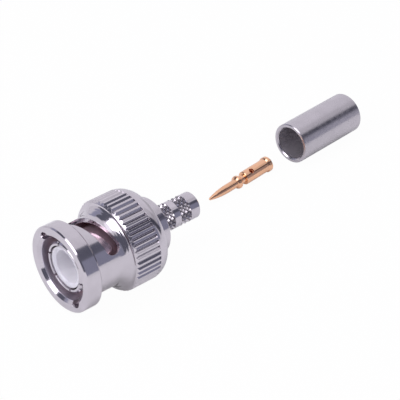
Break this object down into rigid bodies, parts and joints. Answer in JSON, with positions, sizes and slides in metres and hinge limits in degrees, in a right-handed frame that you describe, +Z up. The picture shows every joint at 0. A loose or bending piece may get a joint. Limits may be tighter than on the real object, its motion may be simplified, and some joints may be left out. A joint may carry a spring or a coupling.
{
  "type": "coaxial bayonet plug",
  "caption": "Round bayonet cable plug with a slotted mouth, knurled coupling and thin crimp stem, beside its loose centre pin and crimp tube.",
  "frame": {"origin": "centre of the coupling's mating face, on the connector's axis", "axes": "+X along the connector's axis from the mating face to the cable, +Z up from the table that the pieces lie on"},
  "size_m": [0.0675, 0.0183, 0.0145],
  "materials": {
    "nickel": "polished nickel plate",
    "satin_nickel": "satin nickel plate",
    "ptfe": "smooth white",
    "silicone": "smooth red",
    "spring_bronze": "rolled spring strip",
    "rose_gold": "polished gold plate"
  },
  "bodies": {
    "connector": {"outer_contact": "nickel", "insulator": "ptfe", "gasket": "silicone", "wave_washer_front": "spring_bronze", "wave_washer_rear": "spring_bronze", "crimp_stem": "nickel", "contact_pin": "rose_gold", "crimp_ferrule": "satin_nickel"},
    "spring_carrier": {"thrust_washer": "spring_bronze"},
    "coupling": {"coupling_nut": "nickel"}
  },
  "joints": [
    {"name": "coupling_slide", "type": "slide", "parent": "connector", "child": "spring_carrier", "axis": [-1, 0, 0], "range_m": [0, 0.0008], "stiffness_N_per_m": 2000, "springref_m": -0.0002, "deforming": ["wave_washer_front", "wave_washer_rear"]},
    {"name": "coupling_turn", "type": "hinge", "parent": "spring_carrier", "child": "coupling", "pos_m": [0.01362, 0, 0], "axis": [1, 0, 0], "continuous": true}
  ]
}
